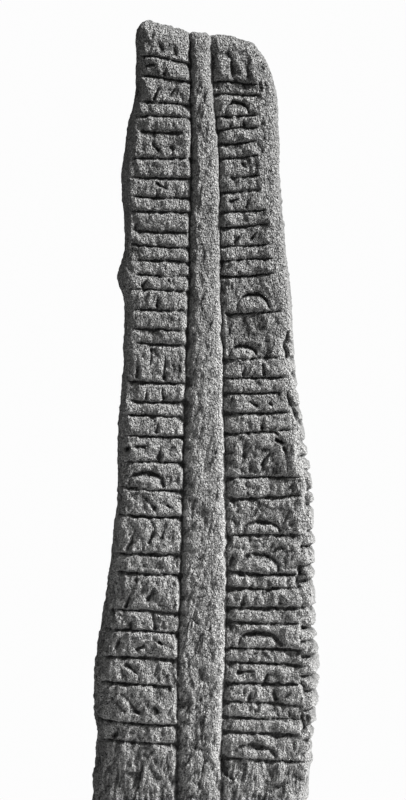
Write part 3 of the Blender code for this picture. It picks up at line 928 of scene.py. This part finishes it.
def stoneMaterial():
    material = bpy.data.materials.new("weatheredGreyStone")
    material.use_nodes = True
    nodes, links = material.node_tree.nodes, material.node_tree.links
    shader = nodes["Principled BSDF"]
    shader.inputs["Metallic"].default_value = 0.0
    shader.inputs["Specular IOR Level"].default_value = finish["specular"]
    place = nodes.new("ShaderNodeTexCoord")

    def setOrLink(socket, value):
        if isinstance(value, (int, float)):
            socket.default_value = value
        else:
            links.new(value, socket)

    def mapped(size, *turn):
        mapping = nodes.new("ShaderNodeMapping")
        mapping.vector_type = "TEXTURE"
        mapping.inputs["Rotation"].default_value = [math.radians(angle) for angle in turn]
        mapping.inputs["Scale"].default_value = size
        links.new(place.outputs["Object"], mapping.inputs["Vector"])
        return mapping.outputs["Vector"]

    def noiseOf(vector, detail, roughness, distortion=0.0):
        texture = nodes.new("ShaderNodeTexNoise")
        texture.inputs["Scale"].default_value = 1.0
        texture.inputs["Detail"].default_value = detail
        texture.inputs["Roughness"].default_value = roughness
        texture.inputs["Distortion"].default_value = distortion
        links.new(vector, texture.inputs["Vector"])
        return texture.outputs["Fac"]

    def maths(operation, a, b):
        node = nodes.new("ShaderNodeMath")
        node.operation = operation
        for socket, value in zip(node.inputs, (a, b)):
            setOrLink(socket, value)
        return node.outputs["Value"]

    def attribute(name):
        node = nodes.new("ShaderNodeAttribute")
        node.attribute_name = name
        return node.outputs["Fac"]

    # the value carried from one span over to another, and held at its ends
    def ranged(value, span):
        node = nodes.new("ShaderNodeMapRange")
        for name, number in zip(("From Min", "From Max", "To Min", "To Max"), span):
            node.inputs[name].default_value = number
        links.new(value, node.inputs["Value"])
        return node.outputs["Result"]

    def darkened(colour, factor):
        node = nodes.new("ShaderNodeMix")
        node.data_type, node.blend_type = "RGBA", "MULTIPLY"
        node.inputs["Factor"].default_value = 1.0
        links.new(colour, node.inputs["A"])
        links.new(factor, node.inputs["B"])
        return node.outputs["Result"]

    def axesOf(vector):
        node = nodes.new("ShaderNodeSeparateXYZ")
        links.new(vector, node.inputs["Vector"])
        return node.outputs

    lens = noiseOf(mapped(finish["lensSize"], 0, finish["lean"], 40), 0, 0.5, 0.6)
    grainy = noiseOf(mapped(finish["grainSize"], 0, finish["lean"], 65), 0, 0.5, 0.6)
    patches = noiseOf(mapped(finish["patchSize"], 0, 10, 40), 4, 0.6)
    specks = noiseOf(mapped([finish["speckSize"]] * 3, 35, 25, 50), 0, 0.5)
    turnedRight = axesOf(place.outputs["Normal"])["X"]
    height = axesOf(place.outputs["Object"])["Z"]

    # tone: painted shade in the cuts and in the low spots of the two bumps, painted highlight on what stands
    # out, with a little patchiness
    shares = finish["toneShares"]
    hollow = maths("MULTIPLY", attribute("hollow"), shares["hollow"])
    tone = maths("ADD", hollow, maths("MULTIPLY", attribute("crevice"), shares["crevice"]))
    tone = maths("ADD", tone, finish["toneBase"])
    tone = maths("ADD", tone, maths("MULTIPLY", maths("SUBTRACT", 0.5, lens), shares["lens"]))
    tone = maths("ADD", tone, maths("MULTIPLY", maths("SUBTRACT", 0.5, grainy), shares["grain"]))
    tone = maths("ADD", tone, maths("MULTIPLY", maths("SUBTRACT", patches, 0.5), shares["patches"]))
    ramp = nodes.new("ShaderNodeValToRGB")
    stops = ramp.color_ramp.elements
    stops[1].position, stops[0].position = finish["toneStops"][2], finish["toneStops"][0]
    stops[0].color, stops[1].color = (*finish["high"], 1), (*finish["deep"], 1)
    stops.new(finish["toneStops"][1]).color = (*finish["middle"], 1)
    links.new(tone, ramp.inputs["Fac"])

    # painted highlight: the rib's right side and a little of its crown are lighter
    paintedHighlight = nodes.new("ShaderNodeMix")
    paintedHighlight.data_type = "RGBA"
    paintedHighlight.inputs["B"].default_value = (*finish["paintedHighlight"], 1)
    links.new(attribute("highlightMask"), paintedHighlight.inputs["Factor"])
    links.new(ramp.outputs["Color"], paintedHighlight.inputs["A"])
    speckled = darkened(paintedHighlight.outputs["Result"], ranged(specks, finish["specks"]))

    # painted shade over the whole: on the sides that would catch too much light, towards the foot, and where
    # the lower stone turns left, away from the light
    slant = nodes.new("ShaderNodeVectorMath")
    slant.operation = "DOT_PRODUCT"
    slant.inputs[1].default_value = finish["brightSide"]
    links.new(place.outputs["Normal"], slant.inputs[0])
    slant = slant.outputs["Value"]
    shoulder = maths("MULTIPLY", ranged(slant, finish["upperTurned"]), maths("SUBTRACT", 1.0, slant))
    litSideShade = maths("SUBTRACT", 1.0, maths("MULTIPLY", ranged(height, finish["upperPart"]), shoulder))
    litEdgeShade = maths("SUBTRACT", 1.0, ranged(slant, finish["edgeDarkened"]))
    litSideShade = maths("MULTIPLY", litSideShade, litEdgeShade)
    # painted shade on the lower sides turned left, away from the light, and towards the foot
    leftSideShade = maths("MULTIPLY", ranged(turnedRight, finish["leftTurned"]), ranged(height, finish["leftShadePart"]))
    footAndLeftShade = maths("MULTIPLY", ranged(height, finish["footShade"]), maths("SUBTRACT", 1.0, leftSideShade))
    links.new(darkened(speckled, maths("MULTIPLY", footAndLeftShade, litSideShade)), shader.inputs["Base Color"])
    links.new(ranged(grainy, (0.0, 1.0, *finish["roughness"])), shader.inputs["Roughness"])

    # two bumps, one on the other
    bumpsKept = ranged(turnedRight, finish["bumpsKept"])
    normal = None
    for heights, distance in ((lens, finish["lensBump"]), (grainy, finish["grainBump"])):
        bump = nodes.new("ShaderNodeBump")
        bump.inputs["Distance"].default_value = distance
        links.new(bumpsKept, bump.inputs["Strength"])
        links.new(heights, bump.inputs["Height"])
        if normal:
            links.new(normal, bump.inputs["Normal"])
        normal = bump.outputs["Normal"]
    links.new(normal, shader.inputs["Normal"])
    return material


stone.data.materials.clear()
stone.data.materials.append(stoneMaterial())
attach(stone, "root")
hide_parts("rune_stone")
print("stage: stone finished")

studio = {
    "floorRadius": 1.75,
    "floorTone": 0.60,
    "floorRoughness": 0.7,
    "middle": (0, 0, 1.25),
    "keyDirection": (0.76, -0.23, 0.61),
    "keyDistance": 30.0,
    "keySize": 4.2,
    "keyPower": 21900,
    "ambient": (0.080, 0.280),  # from the left, from the right
    "below": 0.35,
    "horizon": (-0.15, 0.10),
    "background": 0.98,
}


# a plain pale floor, a round disc so that its rim stays below the view
def layFloor():
    bpy.ops.object.select_all(action="DESELECT")
    bpy.ops.mesh.primitive_circle_add(
        vertices=96, radius=studio["floorRadius"], fill_type="NGON", location=(0, 0, 0)
    )
    floor = bpy.context.object
    floor.name = floor.data.name = "paleFloor"
    material = bpy.data.materials.new("paleFloor")
    material.use_nodes = True
    shader = material.node_tree.nodes["Principled BSDF"]
    shader.inputs["Base Color"].default_value = (*[studio["floorTone"]] * 3, 1)
    shader.inputs["Roughness"].default_value = studio["floorRoughness"]
    floor.data.materials.append(material)
    return floor


# a soft light that rakes the face from the upper right
def hangKeyLight():
    direction = Vector(studio["keyDirection"]).normalized()
    spot = Vector(studio["middle"]) + direction * studio["keyDistance"]
    bpy.ops.object.light_add(type="AREA", location=spot)
    key = bpy.context.object
    key.name = "keyLight"
    key.data.size = studio["keySize"]
    key.data.energy = studio["keyPower"]
    key.rotation_euler = direction.to_track_quat("Z", "Y").to_euler()


# the room's light: weak from the left, stronger from the right, weaker from below; the camera sees it pale
def lightRoom():
    world = bpy.context.scene.world or bpy.data.worlds.new("studio")
    bpy.context.scene.world = world
    world.use_nodes = True
    nodes, links = world.node_tree.nodes, world.node_tree.links
    nodes.clear()
    lightPath = nodes.new("ShaderNodeLightPath")
    seen, lit = nodes.new("ShaderNodeBackground"), nodes.new("ShaderNodeBackground")
    seen.inputs["Strength"].default_value = 1.0
    seen.inputs["Color"].default_value = (*[studio["background"]] * 3, 1)
    lit.inputs["Color"].default_value = (1, 1, 1, 1)
    coordinates = nodes.new("ShaderNodeTexCoord")
    towards = nodes.new("ShaderNodeSeparateXYZ")
    links.new(coordinates.outputs["Generated"], towards.inputs["Vector"])
    fill = nodes.new("ShaderNodeMath")
    fill.operation = "MULTIPLY"
    for socket, axis, span in (
        (fill.inputs[0], "X", (-1.0, 1.0, *studio["ambient"])),
        (fill.inputs[1], "Z", (*studio["horizon"], studio["below"], 1.0)),
    ):
        share = nodes.new("ShaderNodeMapRange")
        for name, number in zip(("From Min", "From Max", "To Min", "To Max"), span):
            share.inputs[name].default_value = number
        links.new(towards.outputs[axis], share.inputs["Value"])
        links.new(share.outputs["Result"], socket)
    links.new(fill.outputs["Value"], lit.inputs["Strength"])
    mix = nodes.new("ShaderNodeMixShader")
    out = nodes.new("ShaderNodeOutputWorld")
    links.new(lightPath.outputs["Is Camera Ray"], mix.inputs["Fac"])
    links.new(lit.outputs["Background"], mix.inputs[1])
    links.new(seen.outputs["Background"], mix.inputs[2])
    links.new(mix.outputs["Shader"], out.inputs["Surface"])


# the camera looks level at the face, from far off; the foot lies below its view
view = {"seenHeight": 2.16, "middle": (0.0135, 1.345), "lens": 135, "sensor": 36, "clipEnd": 100}


def placeCamera():
    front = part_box("rune_stone")[0].y
    distance = view["lens"] * view["seenHeight"] / view["sensor"]
    x, z = view["middle"]
    bpy.ops.object.camera_add(location=(x, front - distance, z), rotation=(math.pi / 2, 0, 0))
    camera = bpy.context.object
    camera.data.lens = view["lens"]
    camera.data.sensor_width = view["sensor"]
    camera.data.clip_end = view["clipEnd"]
    return camera


layFloor()
hangKeyLight()
lightRoom()
bpy.context.scene.camera = placeCamera()
bpy.context.scene.view_settings.view_transform = "Standard"
print("stage: studio set")
